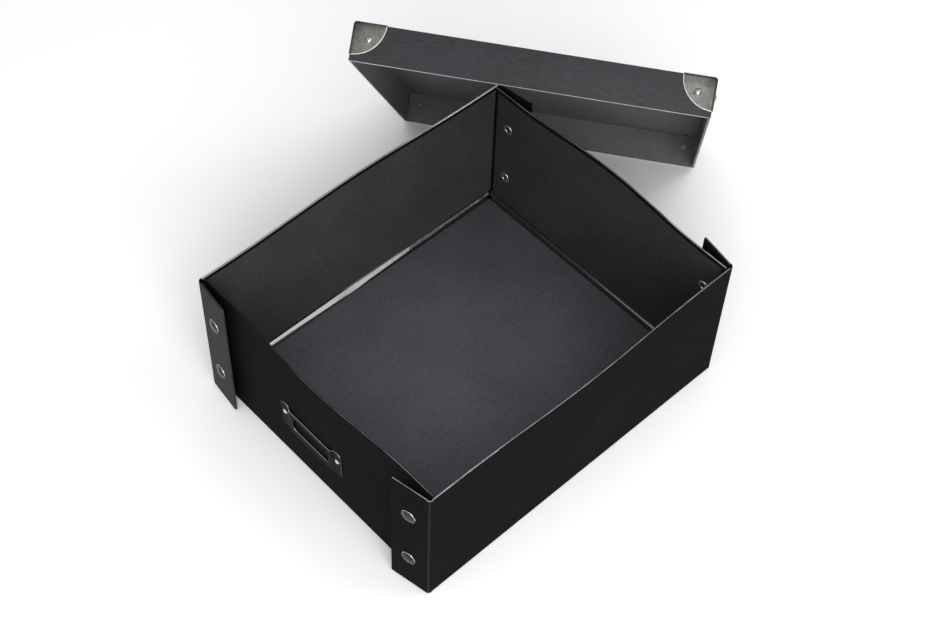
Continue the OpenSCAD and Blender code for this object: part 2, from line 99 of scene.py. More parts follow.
class Finish:
    """A material on its Principled shader. Its node method adds any node."""

    def __init__(self, name):
        self.material = bpy.data.materials.new(name)
        self.material.use_nodes = True
        self.tree = self.material.node_tree
        self.shader = self.tree.nodes["Principled BSDF"]

    def node(self, kind, settings, sockets):
        node = self.tree.nodes.new(kind)
        for name, value in settings.items():
            setattr(node, name, value)
        for key, value in sockets.items():
            self.feed(node.inputs[key], value)
        return node

    def feed(self, socket, value):
        if isinstance(value, Tone):
            self.tree.links.new(value.socket, socket)
        elif isinstance(value, bpy.types.NodeSocket):
            self.tree.links.new(value, socket)
        else:
            socket.default_value = value

    def set(self, **sockets):
        for name, value in sockets.items():
            self.feed(self.shader.inputs[name.replace("_", " ")], value)

    def place(self, turn=(0, 0, 0), origin=(0, 0, 0)):
        """Object coordinates, taken back into the frame of a piece that stands at an angle."""
        where = self.node("ShaderNodeTexCoord", {}, {}).outputs["Object"]
        sockets = {"Vector": where, "Rotation": turn, "Location": origin}
        return self.node("ShaderNodeMapping", {"vector_type": "TEXTURE"}, sockets).outputs[0]

    def noise(self, place, size, detail):
        """Soft noise with grains of a given size, in metres, along each axis."""
        scale = [1 / length for length in size]
        sized = self.node("ShaderNodeMapping", {}, {"Vector": place, "Scale": scale})
        sockets = {"Vector": sized.outputs[0], "Scale": 1.0, "Detail": detail}
        return Tone(self, self.node("ShaderNodeTexNoise", {}, sockets).outputs["Fac"])

    def between(self, value, low, high):
        """0 below low and 1 above high, with a smooth step from one to the other."""
        sockets = {"Value": value, "From Min": low, "From Max": high}
        node = self.node("ShaderNodeMapRange", {"interpolation_type": "SMOOTHSTEP"}, sockets)
        return Tone(self, node.outputs[0])

    def mix(self, share, first, second):
        node = self.node("ShaderNodeMix", {"data_type": "RGBA"}, {0: share, 6: first, 7: second})
        return node.outputs[2]

    def bump(self, height, strength, depth):
        sockets = {"Height": height, "Strength": strength, "Distance": depth}
        self.set(Normal=self.node("ShaderNodeBump", {}, sockets).outputs[0])


bpy.ops.object.select_all(action="DESELECT")
bpy.ops.mesh.primitive_plane_add(size=FLOOR_SIZE, location=(0, 0, -FLOOR_DROP))
studio_floor = bpy.context.object
studio_floor.name = "studio_floor"
pale = Finish("pale_floor")
pale_cloud = pale.noise(pale.place(), [0.9] * 3, detail=2.0)
pale_tone = pale.mix(pale_cloud, (0.93, 0.93, 0.93, 1), (0.95, 0.95, 0.95, 1))
pale.set(Base_Color=pale_tone, Roughness=0.9, Specular_IOR_Level=0.1)
studio_floor.data.materials.append(pale.material)


def soft_lamp(name, place, width, height, radiance, aim):
    """A rectangular lamp that faces a point, with an even brightness over its face."""
    lamp = bpy.data.lights.new(name, "AREA")
    lamp.shape = "RECTANGLE"
    lamp.size = width
    lamp.size_y = height
    lamp.energy = radiance * math.pi * width * height
    stand = bpy.data.objects.new(name, lamp)
    bpy.context.scene.collection.objects.link(stand)
    stand.location = place
    stand.rotation_euler = (Vector(aim) - Vector(place)).to_track_quat("-Z", "Y").to_euler()


soft_lamp(
    "overhead_lamp", place=(0.3, -0.35, 2.2), width=3.0, height=3.0, radiance=0.72, aim=(0, 0, 0),
)
soft_lamp(
    "right_lamp", place=(1.4, -0.9, 1.45), width=1.5, height=1.5, radiance=4.4, aim=(0, 0, 0.1),
)
soft_lamp(
    "back_lamp", place=(0.57, 0.55, 1.28), width=0.5, height=0.62, radiance=3.0, aim=(-0.05, 0, 0.05),
)
studio_air = bpy.data.worlds.new("studio_air")
studio_air.use_nodes = True
studio_glow = studio_air.node_tree.nodes["Background"].inputs
studio_glow["Color"].default_value = (0.95, 0.97, 1.0, 1)
studio_glow["Strength"].default_value = 0.55
bpy.context.scene.world = studio_air
bpy.context.scene.view_settings.view_transform = "Standard"

away = Vector((
    math.sin(AZIMUTH) * math.cos(ELEVATION),
    -math.cos(AZIMUTH) * math.cos(ELEVATION),
    math.sin(ELEVATION),
))
level = Vector((0, 0, 1)).cross(away).normalized()
raised = away.cross(level)
right = math.cos(ROLL) * level + math.sin(ROLL) * raised
above = math.cos(ROLL) * raised - math.sin(ROLL) * level
camera_turn = Matrix((right, above, away)).transposed().to_4x4()
camera = bpy.data.objects.new("camera", bpy.data.cameras.new("camera"))
bpy.context.scene.collection.objects.link(camera)
camera.matrix_world = Matrix.Translation(AIM + DISTANCE * away) @ camera_turn
camera.data.sensor_width = SENSOR
camera.data.lens = FOCAL_PIXELS * SENSOR / PHOTO_WIDTH
bpy.context.scene.camera = camera

# Base board
# A sheet of board wrapped in black paper, on which the box stands. The walls hang on paper folds
# round its edges.

box_width = 254 * MM
box_length = 296 * MM
half_x = box_width / 2
half_y = box_length / 2
board = 2 * MM
board_edge = 0.3 * MM
board_edge_steps = 3
fold_radius = 3 * MM
UPRIGHT = (1, 1, 3.2)


def begin(add, name, scale=(1, 1, 1), **settings):
    """Adds a primitive with nothing else selected, sizes it and opens it in edit mode."""
    bpy.ops.object.select_all(action="DESELECT")
    add(**settings)
    piece = bpy.context.object
    piece.name = name
    piece.data.name = name
    piece.scale = scale
    bpy.ops.object.transform_apply(location=True, rotation=True, scale=True)
    bpy.ops.object.mode_set(mode="EDIT")
    return piece


def dress(piece, *finishes):
    """Gives a piece its finishes. The first covers all of it to begin with."""
    for finish in finishes:
        piece.data.materials.append(finish.material)


def number_of(piece, finish):
    """The number of a finish among those of a piece."""
    return piece.data.materials.find(finish.material.name)


def pick(piece, kind, test):
    """Selects the vertices, edges or faces that pass a test, by their place or normal."""
    bpy.ops.mesh.select_mode(type=kind)
    bpy.ops.mesh.select_all(action="DESELECT")
    shape = bmesh.from_edit_mesh(piece.data)
    for part in {"VERT": shape.verts, "EDGE": shape.edges, "FACE": shape.faces}[kind]:
        part.select_set(test(part))
    shape.select_flush_mode()
    bmesh.update_edit_mesh(piece.data)


def close_up(piece, angle=30):
    """Leaves edit mode with normals outwards, smooth but for edges sharper than an angle."""
    bpy.ops.mesh.select_all(action="SELECT")
    bpy.ops.mesh.normals_make_consistent(inside=False)
    bpy.ops.object.mode_set(mode="OBJECT")
    bpy.ops.object.shade_smooth_by_angle(angle=math.radians(angle))


def wrapped_board(name, low, high, radius, paper, edge_paper):
    """A flat board between two corners, with its edges rounded by the paper round them."""
    size = [b - a for a, b in zip(low, high)]
    centre = [(a + b) / 2 for a, b in zip(low, high)]
    piece = begin(bpy.ops.mesh.primitive_cube_add, name, size=1, location=centre, scale=size)
    dress(piece, paper, edge_paper)
    pick(piece, "EDGE", lambda edge: True)
    bpy.ops.mesh.bevel(
        offset=radius, segments=board_edge_steps, affect="EDGES", material=number_of(piece, edge_paper),
    )
    close_up(piece)
    return piece


def covering_paper(name, dark, light, way, roughness, gloss, turn=(0, 0, 0)):
    """Covering paper: fibres along one way, fine specks and a slow cloud of tone."""
    fibre_size = 1.1 * MM
    speck_size = 0.45 * MM
    cloud_size = 60 * MM
    finish = Finish(name)
    place = finish.place(turn)
    fibre = finish.noise(place, [fibre_size * stretch for stretch in way], detail=5.0)
    speck = finish.noise(place, [speck_size] * 3, detail=3.0)
    cloud = finish.noise(place, [cloud_size] * 3, detail=3.0)
    tone = finish.between(0.5 * fibre + 0.2 * speck + 0.3 * cloud, 0.32, 0.68)
    finish.set(Base_Color=finish.mix(tone, dark, light))
    finish.set(Roughness=roughness + 0.16 * (cloud - 0.5) - 0.12 * (fibre - 0.5))
    finish.set(Specular_IOR_Level=gloss)
    finish.bump(0.65 * fibre + 0.35 * speck, strength=0.22, depth=0.25 * MM)
    return finish


wall_paper = covering_paper(
    "black_paper", dark=(0.005, 0.005, 0.006, 1), light=(0.0105, 0.0105, 0.012, 1),
    way=UPRIGHT, roughness=0.6, gloss=0.008,
)
base_half_x = half_x - fold_radius
base_half_y = half_y - fold_radius
base_board = wrapped_board(
    "base_board_wrapped",
    (-base_half_x, -base_half_y, 0),
    (base_half_x, base_half_y, board),
    board_edge, wall_paper, wall_paper,
)
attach(base_board, "box_base")
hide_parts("base_board")

# Floor panel
# A thinner board in a greyer, satin paper, glued on the base. It stops short of the walls, which
# leaves a groove for their folds.

panel_thick = 1.5 * MM
panel_round = 0.55 * MM
groove = 6 * MM
ALONG_X = (3.2, 1, 1)
panel_paper = covering_paper(
    "floor_paper", dark=(0.062, 0.061, 0.068, 1), light=(0.094, 0.092, 0.103, 1),
    way=ALONG_X, roughness=0.5, gloss=0.02,
)
panel_edge = covering_paper(
    "floor_paper_edge", dark=(0.06, 0.06, 0.065, 1), light=(0.1, 0.1, 0.106, 1),
    way=ALONG_X, roughness=0.4, gloss=0.4,
)
panel_half_x = half_x - board - groove
panel_half_y = half_y - board - groove
floor_panel = wrapped_board(
    "floor_panel_wrapped",
    (-panel_half_x, -panel_half_y, board),
    (panel_half_x, panel_half_y, board + panel_thick),
    panel_round, panel_paper, panel_edge,
)
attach(floor_panel, "box_base")
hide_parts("floor_panel")

# Walls
# Four boards that stand on the folds, in black paper outside and a greyer paper inside, painted darker
# inside the end walls as painted shade. The black paper is turned over the rim and rubbed pale there,
# with a painted highlight graded along each rim. Undone, the walls bow out between their ends.

box_height = 130 * MM
wall_gap = 1 * MM
flap_gap = 3 * MM
corner_radius = 4 * MM
bow_margin = 24 * MM
wall_height = box_height - fold_radius
wall_steps = 60
rim_radius = 0.75 * MM
rim_steps = 4
rim_slack = 0.3 * MM
inner_drop = 2.2 * MM
inner_thick = 0.2 * MM
end_half = half_x - board - wall_gap
long_half = half_y + flap_gap + board - corner_radius

# How close a place, how long an edge, how large a face and how square on a normal has to be
near = 0.1 * MM
long_run = 1 * MM
broad_area = 100 * MM * MM
square_on = 0.99

inner_paper = covering_paper(
    "inner_paper", dark=(0.04, 0.04, 0.043, 1), light=(0.064, 0.064, 0.068, 1),
    way=UPRIGHT, roughness=0.55, gloss=0.05,
)
# The end walls' inner paper is the same inner paper painted darker, as painted shade.
end_paper_painted_shade = covering_paper(
    "end_paper_painted_shade", dark=(0.03, 0.03, 0.032, 1), light=(0.049, 0.049, 0.052, 1),
    way=UPRIGHT, roughness=0.55, gloss=0.05,
)


def rim_rub_and_highlight(name, dark, light, axis, dim_end, pale_end, least):
    """Paper rubbed pale along a rim, with a painted highlight that grows towards one end and keeps a least
    share at the other.
    """
    wear_size = 16 * MM
    fleck_size = 1.3 * MM
    finish = Finish(name)
    place = finish.place()
    axes = finish.node("ShaderNodeSeparateXYZ", {}, {0: place})
    towards = finish.between(axes.outputs[axis], dim_end, pale_end)
    wear = finish.noise(place, [wear_size] * 3, detail=4.0)
    fleck = finish.noise(place, [fleck_size] * 3, detail=3.0)
    tone = (least + (1 - least) * towards) * finish.between(0.65 * wear + 0.35 * fleck, 0.28, 0.62)
    finish.set(Base_Color=finish.mix(tone, dark, light), Roughness=0.5 - 0.1 * wear)
    finish.set(Specular_IOR_Level=0.2)
    finish.bump(fleck, strength=0.15, depth=0.15 * MM)
    return finish


# Each rim's paleness is partly rubbed paper and partly a painted highlight, graded along the rim; the left
# rim is painted paler towards the back, where the lid shades it.
rims = {
    "front": rim_rub_and_highlight(
        "front_rim", dark=(0.006, 0.006, 0.007, 1), light=(0.2, 0.2, 0.2, 1),
        axis="X", dim_end=-0.7 * half_x, pale_end=half_x, least=0.03,
    ),
    "back": rim_rub_and_highlight(
        "back_rim", dark=(0.05, 0.05, 0.05, 1), light=(0.3, 0.3, 0.3, 1),
        axis="X", dim_end=-half_x, pale_end=half_x, least=0.5,
    ),
    "left": rim_rub_and_highlight(
        "left_rim", dark=(0.16, 0.16, 0.16, 1), light=(0.85, 0.85, 0.84, 1),
        axis="Y", dim_end=0.2 * half_y, pale_end=0.75 * half_y, least=0.12,
    ),
    "right": rim_rub_and_highlight(
        "right_rim", dark=(0.06, 0.06, 0.06, 1), light=(0.3, 0.3, 0.295, 1),
        axis="Y", dim_end=half_y, pale_end=-half_y, least=0.4,
    ),
}


def ends(edge):
    """The two end points of an edge."""
    return edge.verts[0].co, edge.verts[1].co


def run(edge):
    """How far an edge runs along x, y and z."""
    first, second = ends(edge)
    return Vector([abs(step) for step in second - first])


def middle(edge):
    """The point halfway along an edge."""
    first, second = ends(edge)
    return (first + second) / 2


def round_off(piece, test, radius, steps):
    """Rounds the edges that pass a test."""
    pick(piece, "EDGE", test)
    bpy.ops.mesh.bevel(offset=radius, segments=steps, affect="EDGES")


def assign(piece, finish):
    """Gives the selected faces one of the piece's finishes."""
    piece.active_material_index = number_of(piece, finish)
    bpy.ops.object.material_slot_assign()


def paint(piece, test, finish):
    """Gives the faces that pass a test one of the piece's finishes."""
    pick(piece, "FACE", test)
    assign(piece, finish)


def thicken(piece, thickness, even=False):
    """Leaves edit mode and gives a skin its thickness, inwards from the side that it shows."""
    bpy.ops.object.mode_set(mode="OBJECT")
    shell = piece.modifiers.new("thickness", "SOLIDIFY")
    shell.thickness = thickness
    shell.offset = -1
    shell.use_even_offset = even
    bpy.ops.object.modifier_apply(modifier=shell.name)


def along_wall(turn, reach):
    """The frame of a wall: x along it, y out of the box, from the foot of its outer face."""
    return Matrix.Rotation(math.radians(turn), 4, "Z") @ Matrix.Translation((0, reach, 0))


def settle(piece, matrix):
    """Puts a piece in place and keeps that place in its mesh."""
    piece.matrix_world = matrix
    bpy.ops.object.transform_apply(location=True, rotation=True, scale=True)


def bowed_wall(name, half, bow, free_ends, rim, sheet, rub_and_highlight_slope):
    """A wall in its own frame: a bowed skin, thickened, rounded where it is wrapped, and lined."""
    wall = begin(
        bpy.ops.mesh.primitive_grid_add, name, x_subdivisions=wall_steps, y_subdivisions=1, size=1,
        location=(0, 0, fold_radius + wall_height / 2), rotation=(-math.pi / 2, 0, 0),
        scale=(2 * half, wall_height, 1),
    )
    dress(wall, wall_paper, rim, sheet)
    bowed_half = half - bow_margin
    for step in range(wall_steps + 1):
        along = half * (2 * step / wall_steps - 1)
        if abs(along) < bowed_half:
            pick(wall, "VERT", lambda v: v.co.z > box_height / 2 and abs(v.co.x - along) < near)
            swell = bow * math.cos(math.pi / 2 * along / bowed_half) ** 2
            bpy.ops.transform.translate(value=(0, swell, 0))
    thicken(wall, board)
    bpy.ops.object.mode_set(mode="EDIT")

    def wrapped(edge):
        on_rim = min(point.z for point in ends(edge)) > box_height - rim_slack and run(edge).x > long_run
        on_end = abs(middle(edge).x) > half - near and run(edge).z > long_run
        return on_rim or (free_ends and on_end)

    round_off(wall, wrapped, rim_radius, rim_steps)
    # The upward faces of the rim take its rubbed and painted-highlight finish.
    paint(wall, lambda face: face.normal.z > rub_and_highlight_slope, rim)
    pick(wall, "FACE", lambda face: face.normal.y < -square_on and face.calc_area() > broad_area)
    bpy.ops.mesh.inset(thickness=inner_drop)
    bpy.ops.mesh.inset(thickness=inner_thick, depth=inner_thick)
    assign(wall, sheet)
    close_up(wall)
    return wall


# The turn about z, the reach of the outer face and the body
walls = {
    "front": (180, half_y, "front_wall"),
    "back": (0, half_y, "back_wall"),
    "left": (90, half_x, "box_base"),
    "right": (-90, half_x, "right_wall"),
}
wall_halves = {"front": end_half, "back": end_half, "left": long_half, "right": long_half}
wall_bows = {"front": 5.0 * MM, "back": 5.5 * MM, "left": 3.2 * MM, "right": 2.8 * MM}
# The least upward slope of the faces that take each rim's pale finish; the lower it is, the wider the
# painted highlight.
rim_rub_and_highlight_slopes = {"front": 0.99, "back": 0.9, "left": 0.8, "right": 0.98}
for side, (turn, reach, body) in walls.items():
    free_ends = side in ("front", "back")
    wall = bowed_wall(
        f"{side}_wall_wrapped", wall_halves[side], wall_bows[side], free_ends,
        rims[side], end_paper_painted_shade if free_ends else inner_paper, rim_rub_and_highlight_slopes[side],
    )
    settle(wall, along_wall(turn, reach))
    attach(wall, body)
    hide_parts(f"{side}_wall")

# Base folds
# The covering paper runs on from the base to each wall as a round fold of bare paper, which bends on
# the real box when a wall lies down; here each fold keeps its quarter round.

fold_thick = 0.8 * MM
fold_steps = 8
fold_paper = covering_paper(
    "fold_paper", dark=(0.005, 0.005, 0.006, 1), light=(0.011, 0.011, 0.013, 1),
    way=ALONG_X, roughness=0.55, gloss=0.02,
)
fold_lengths = {
    "front": 2 * (base_half_x - fold_radius),
    "back": 2 * (base_half_x - fold_radius),
    "left": 2 * long_half,
    "right": 2 * long_half,
}
for side, (turn, reach, body) in walls.items():
    base_fold = begin(
        bpy.ops.mesh.primitive_plane_add, f"{side}_base_fold_paper", size=1,
        location=(0, -fold_radius, fold_thick / 2), rotation=(math.pi / 2, 0, 0),
        scale=(fold_lengths[side], fold_thick, 1),
    )
    dress(base_fold, fold_paper)
    bpy.ops.mesh.select_all(action="SELECT")
    bpy.ops.mesh.spin(
        steps=fold_steps, angle=-math.pi / 2, center=(0, -fold_radius, fold_radius), axis=(1, 0, 0),
    )
    close_up(base_fold)
    frame_of_wall = along_wall(turn, reach)
    settle(base_fold, frame_of_wall)
    if body == "box_base":
        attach(base_fold, body)
    else:
        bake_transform(base_fold)
    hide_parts(f"{side}_base_fold")

# Fold liners
# A strip of glazed paper lines each fold inside the box, from the groove to the foot of the wall.
# It lies slack and slopes up to the wall, widest on the left, where it is creased and painted pale as a
# painted highlight.

liner_paper = Finish("glazed_liner")
liner_place = liner_paper.place()
liner_grain = liner_paper.noise(liner_place, (1.6 * MM, 9 * MM, 3 * MM), detail=4.0)
liner_cloud = liner_paper.noise(liner_place, [14 * MM] * 3, detail=2.0)
liner_tone = liner_paper.mix(liner_grain, (0.012, 0.012, 0.013, 1), (0.022, 0.022, 0.024, 1))
liner_paper.set(Base_Color=liner_tone, Roughness=0.15 + 0.12 * liner_cloud)
liner_paper.set(IOR=1.8, Coat_Weight=1.0, Coat_Roughness=0.12, Coat_IOR=1.6)
liner_paper.bump(liner_grain, strength=0.06, depth=0.2 * MM)

# Where the left liner carries its painted highlight, in metres along it: a pale patch that fades in, then
# pale streaks along its edges that thin out further back.
highlight_from = -30 * MM
highlight_fully = -4 * MM
thin_from = 20 * MM
thin_fully = 60 * MM
# Painted highlight: pale, streaked paper with less coat, standing in for the lamp's reflection on the
# liner.
liner_highlight = Finish("liner_painted_highlight")
edge_place = liner_highlight.place()
edge_axes = liner_highlight.node("ShaderNodeSeparateXYZ", {}, {0: edge_place})
highlight_streak = liner_highlight.noise(edge_place, (0.8 * MM, 7 * MM, 0.8 * MM), detail=4.0)
highlight_share = liner_highlight.between(edge_axes.outputs["Y"], highlight_from, highlight_fully)
highlight_thin = liner_highlight.between(edge_axes.outputs["Y"], thin_from, thin_fully)
highlight_tone = highlight_share * liner_highlight.between(highlight_streak - 0.16 * highlight_thin, 0.12, 0.5)
highlight_colour = liner_highlight.mix(highlight_tone, (0.017, 0.017, 0.018, 1), (0.54, 0.54, 0.53, 1))
liner_highlight.set(Base_Color=highlight_colour, Roughness=0.2 + 0.2 * highlight_share, IOR=1.8)
liner_highlight.set(Coat_Weight=1.0 - highlight_share, Coat_Roughness=0.12, Coat_IOR=1.6)

liner_slope = math.radians(30)
liner_thick = 0.12 * MM
liner_overlap = 2.5 * MM
liner_short = 1 * MM
liner_rows = 6
plain_stations = 4
creased_stations = 72
station_slack = 0.5 * MM
row_slack = 0.1
liner_smooth = 40
highlight_start = -0.25
highlight_end = 0.36

# The flat grid starts this far below, so that a point once moved isn't picked again
liner_start = -1

# A place along the wall, from -1 to 1, and the width of the slope there in millimetres
liner_widths = {
    "front": [(-1, 1.6), (1, 1.6)],
    "back": [(-1, 1.4), (1, 1.4)],
    "left": [
        (-1, 2.2), (-0.57, 2.8), (-0.4, 3.4), (-0.2, 4.5), (-0.06, 4.5), (0.06, 3.4), (0.25, 2.8),
        (0.38, 2.0), (0.7, 1.5), (1, 1.2),
    ],
    "right": [(-1, 1.5), (1, 1.5)],
}

# The place, spread and height in millimetres of each crease
liner_creases = [
    (0.08, 0.014, 0.45), (0.14, 0.03, -0.3), (0.33, 0.02, 0.4), (0.42, 0.05, -0.3), (0.65, 0.1, 0.25),
]


def width_at(widths, share):
    """Width of the slope at a place along the wall, straight between the given ones."""
    for (first, first_width), (second, second_width) in zip(widths, widths[1:]):
        if share <= second:
            return (first_width + (second_width - first_width) * (share - first) / (second - first)) * MM
    return widths[-1][1] * MM


def liner_point(row, width, crease):
    """A point of the liner's section in the wall's frame, from the wall down to the groove."""
    wall_y = -board - inner_thick - liner_thick
    floor_z = board + liner_thick
    across = width * math.cos(liner_slope)
    rise = width * math.sin(liner_slope)
    if row == 0:
        return wall_y, floor_z + rise + liner_overlap
    if row == liner_rows:
        return -board - groove + liner_thick, floor_z
    share = (row - 1) / (liner_rows - 2)
    slack = crease * math.sin(math.pi * share)
    return wall_y - across * share, floor_z + rise * (1 - share) + slack


for side, (turn, reach, body) in walls.items():
    length = 2 * ((base_half_x if side in ("front", "back") else base_half_y) - liner_short)
    creases = liner_creases if side == "left" else []
    stations = creased_stations if creases else plain_stations
    liner = begin(
        bpy.ops.mesh.primitive_grid_add, f"{side}_fold_liner", x_subdivisions=stations,
        y_subdivisions=liner_rows, size=1, location=(0, 0, liner_start), scale=(length, liner_rows, 1),
    )
    dress(liner, liner_paper, liner_highlight)

    # Faces that carry the painted highlight: the middle of the slope, and its edges further back.
    def in_painted_highlight(face):
        spot = face.calc_center_median()
        share = 2 * spot.x / length
        on_slope = abs(spot.y) < liner_rows / 2 - 1
        on_edge = on_slope and abs(spot.y) > liner_rows / 2 - 2
        return on_slope and highlight_start < share < highlight_end or on_edge and share >= highlight_end

    if creases:
        paint(liner, in_painted_highlight, liner_highlight)
    for station in range(stations + 1):
        share = 2 * station / stations - 1
        x = share * length / 2
        width = width_at(liner_widths[side], share)
        crease = sum(
            deep * MM * math.exp(-((share - crest) / spread) ** 2)
            for crest, spread, deep in creases
        )
        for row in range(liner_rows + 1):
            start_y = row - liner_rows / 2

            def waiting(point):
                at_station = abs(point.co.x - x) < station_slack
                in_row = abs(point.co.y - start_y) < row_slack
                return point.co.z < liner_start / 2 and at_station and in_row

            pick(liner, "VERT", waiting)
            y, z = liner_point(row, width, crease)
            bpy.ops.transform.translate(value=(0, y - start_y, z - liner_start))
    bpy.ops.mesh.select_all(action="SELECT")
    bpy.ops.mesh.normals_make_consistent(inside=False)
    strip_faces = bmesh.from_edit_mesh(liner.data).faces[:]
    if strip_faces[len(strip_faces) // 2].normal.z < 0:
        bpy.ops.mesh.flip_normals()
    thicken(liner, liner_thick)
    bpy.ops.object.shade_smooth_by_angle(angle=math.radians(liner_smooth))
    frame_of_wall = along_wall(turn, reach)
    settle(liner, frame_of_wall)
    if body == "box_base":
        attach(liner, body)
    else:
        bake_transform(liner)

# Flaps
# The long walls run on past their ends as flaps that wrap round the corners. Each is a wrapped
# board on a paper fold, undone and standing a little off the end wall.

flap_width = 31 * MM
flap_start = 0.1 * MM
flap_lift = 1.5 * MM
flap_height = box_height - flap_lift
flap_middle = (flap_lift + box_height) / 2
flap_corner_round = 1.4 * MM
flap_edge_round = 0.72 * MM
flap_round_steps = 4
corner_steps = 10
crest_share = 0.55
upward = 0.5
axis_x = half_x - corner_radius

# The way along x to the free edge, the way along y out of the box, and the opening in degrees
corners = {
    "front_left": (1, -1, 7),
    "front_right": (-1, -1, 11),
    "back_left": (1, 1, 8),
    "back_right": (-1, 1, 10),
}
# The front left flap's paper is the black paper painted lighter, as a painted sheen.
sheen_painted_flap_paper = covering_paper(
    "sheen_painted_flap_paper", dark=(0.034, 0.033, 0.034, 1), light=(0.056, 0.055, 0.057, 1),
    way=UPRIGHT, roughness=0.6, gloss=0.02,
)
# A painted highlight along the crest of each corner fold: the black paper painted lighter there.
fold_crest_highlight = covering_paper(
    "crest_painted_highlight_paper", dark=(0.01, 0.01, 0.011, 1), light=(0.022, 0.022, 0.024, 1),
    way=UPRIGHT, roughness=0.5, gloss=0.02,
)
flap_papers = {
    "front_left": (sheen_painted_flap_paper, wall_paper),
    "front_right": (wall_paper, rims["right"]),
    "back_left": (wall_paper, rims["back"]),
    "back_right": (wall_paper, rims["back"]),
}


def on_corner(way, out, opened):
    """The frame of a flap at the upright axis of its fold, opened by an angle."""
    at_axis = Matrix.Translation((-way * axis_x, out * long_half, 0))
    return at_axis @ Matrix.Rotation(math.radians(way * out * opened), 4, "Z")


def free_corner(edge):
    """Whether an edge is one of the flap's two corners, through the board."""
    return abs(middle(edge).x) > flap_width - near and run(edge).y > long_run


def free_edge(edge):
    """Whether an edge runs round the flap, but not along the side that joins the fold."""
    return abs(middle(edge).x) >= 2 * flap_start and run(edge).y < long_run


def on_crest(face):
    """Whether a face lies on the crest of a corner fold, outside."""
    spot = face.calc_center_median()
    outer = math.hypot(spot.x, spot.y) > corner_radius - fold_thick / 4
    return outer and min(abs(spot.x), abs(spot.y)) > crest_share * corner_radius


for corner, (way, out, opened) in corners.items():
    flap_paper, flap_rim = flap_papers[corner]
    on_flap = on_corner(way, out, opened)
    flap = begin(
        bpy.ops.mesh.primitive_cube_add, f"{corner}_flap_wrapped", size=1,
        location=(way * (flap_start + flap_width) / 2, out * (corner_radius - board / 2), flap_middle),
        scale=(flap_width - flap_start, board, flap_height),
    )
    dress(flap, flap_paper, flap_rim)
    round_off(flap, free_corner, flap_corner_round, flap_round_steps)
    round_off(flap, free_edge, flap_edge_round, flap_round_steps)
    paint(flap, lambda face: face.normal.z > square_on, flap_rim)
    close_up(flap)
    settle(flap, on_flap)
    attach(flap, f"{corner}_flap")
    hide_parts(f"{corner}_flap")

    corner_fold = begin(
        bpy.ops.mesh.primitive_plane_add, f"{corner}_corner_fold_paper", size=1,
        location=(-way * (corner_radius - fold_thick / 2), 0, flap_middle),
        rotation=(math.pi / 2, 0, 0), scale=(fold_thick, flap_height, 1),
    )
    dress(corner_fold, wall_paper, flap_rim, fold_crest_highlight)
    bpy.ops.mesh.select_all(action="SELECT")
    bpy.ops.mesh.spin(
        steps=corner_steps, angle=way * out * math.radians(90 - opened), center=(0, 0, 0), axis=(0, 0, 1),
    )
    paint(corner_fold, lambda face: face.normal.z > upward, flap_rim)
    # The crest of the fold takes the painted highlight.
    paint(corner_fold, on_crest, fold_crest_highlight)
    close_up(corner_fold)
    on_axis = on_corner(way, out, 0)
    settle(corner_fold, on_axis)
    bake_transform(corner_fold)
    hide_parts(f"{corner}_corner_fold")

# Press studs
# Pressed from brass sheet and plated: a cap with a bronzed face through each flap, its rim polished nickel
# on its upper half as a painted highlight and dark bronze below as painted shade, its socket behind, and a
# stud through the end wall, held by a rolled eyelet inside the box.

cap_radius = 6.25 * MM
cap_flange = 0.6 * MM
cap_dome = 1.6 * MM
cap_along = 15 * MM
cap_sides = 48
cap_edge_round = 0.8 * cap_flange
cap_edge_steps = 5
cap_rings = 9
cap_smooth = 50
dome_share = 0.97
cap_highlight_side = 0.1
cap_rim_foot = 0.05
cap_rim_crown = 0.8
eyelet_radius = 5 * MM
eyelet_rim = 0.8 * MM
eyelet_hole = 1.4 * MM
eyelet_cup = 2.4 * MM
eyelet_seat = 0.05 * MM
eyelet_lip = 0.2 * MM
eyelet_deep = 0.19 * MM
eyelet_sides = 40
eyelet_smooth = 60
roll_steps = 10
stud_inset = 19 * MM
stud_heights = {"lower": 36 * MM, "upper": 94 * MM}

nickel = Finish("polished_nickel")
nickel_place = nickel.place()
nickel_haze = nickel.noise(nickel_place, [3.5 * MM] * 3, detail=3.0)
nickel_grit = nickel.noise(nickel_place, [0.5 * MM] * 3, detail=2.0)
nickel.set(Base_Color=nickel.mix(nickel_haze, (0.6, 0.55, 0.47, 1), (0.84, 0.8, 0.72, 1)))
nickel.set(Metallic=1.0, Roughness=0.13 + 0.1 * nickel_haze)
nickel.bump(nickel_grit, strength=0.03, depth=0.05 * MM)


def hazy_metal(name, grain, dark, light, roughness, haze_roughness):
    """Bare or plated metal with a fine haze in its tone and its polish."""
    finish = Finish(name)
    haze = finish.noise(finish.place(), [grain] * 3, detail=3.0)
    finish.set(Base_Color=finish.mix(haze, dark, light))
    finish.set(Metallic=1.0, Roughness=roughness + haze_roughness * haze)
    return finish


